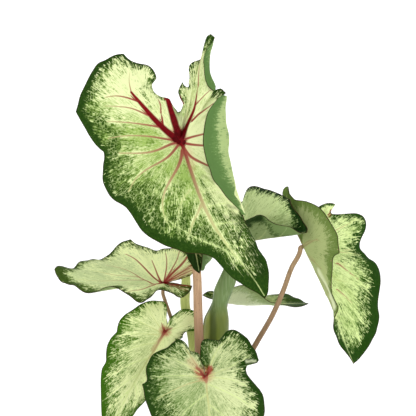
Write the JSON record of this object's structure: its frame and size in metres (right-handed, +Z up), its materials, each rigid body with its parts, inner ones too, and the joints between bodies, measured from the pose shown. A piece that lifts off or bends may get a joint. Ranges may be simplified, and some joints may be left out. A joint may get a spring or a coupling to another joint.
{
  "type": "caladium",
  "caption": "Potted caladium: heart-shaped pale leaves with green edges and red veins, on slender stalks, with a rolled spathe, in a plain clay pot.",
  "frame": {"origin": "centre of the pot's flat underside", "axes": "+Z up along the pot's axis, -Y the side that the main leaf faces, +X to the right as seen from there"},
  "size_m": [0.2633, 0.1653, 0.4482],
  "materials": {
    "clay": "plain unglazed clay, matt",
    "earth": "dark crumbly potting soil",
    "bark": "rough brown tuber skin",
    "blade": "thin leaf, pale with a mottled green edge and red veins, soft sheen",
    "stalk": "tan-pink leaf stalk with fine dark specks",
    "sheathed_stalk": "yellow-green sheathed leaf stalk",
    "sheath": "yellow-green to grey-green flower sheath and its stalk",
    "spadix": "cream flower spike"
  },
  "bodies": {
    "root": {"pot": "clay", "soil": "earth", "tuber": "bark", "main_blade": "blade", "main_stalk": "stalk", "left_blade": "blade", "left_stalk": "stalk", "lower_left_blade": "blade", "lower_left_stalk": "stalk", "front_blade": "blade", "front_stalk": "stalk", "right_blade": "blade", "right_stalk": "stalk", "back_right_blade": "blade", "back_right_stalk": "stalk", "back_low_blade": "blade", "back_low_stalk": "stalk", "small_blade": "blade", "small_stalk": "sheathed_stalk", "spathe": "sheath", "spathe_stalk": "sheath", "spadix": "spadix"}
  },
  "joints": []
}
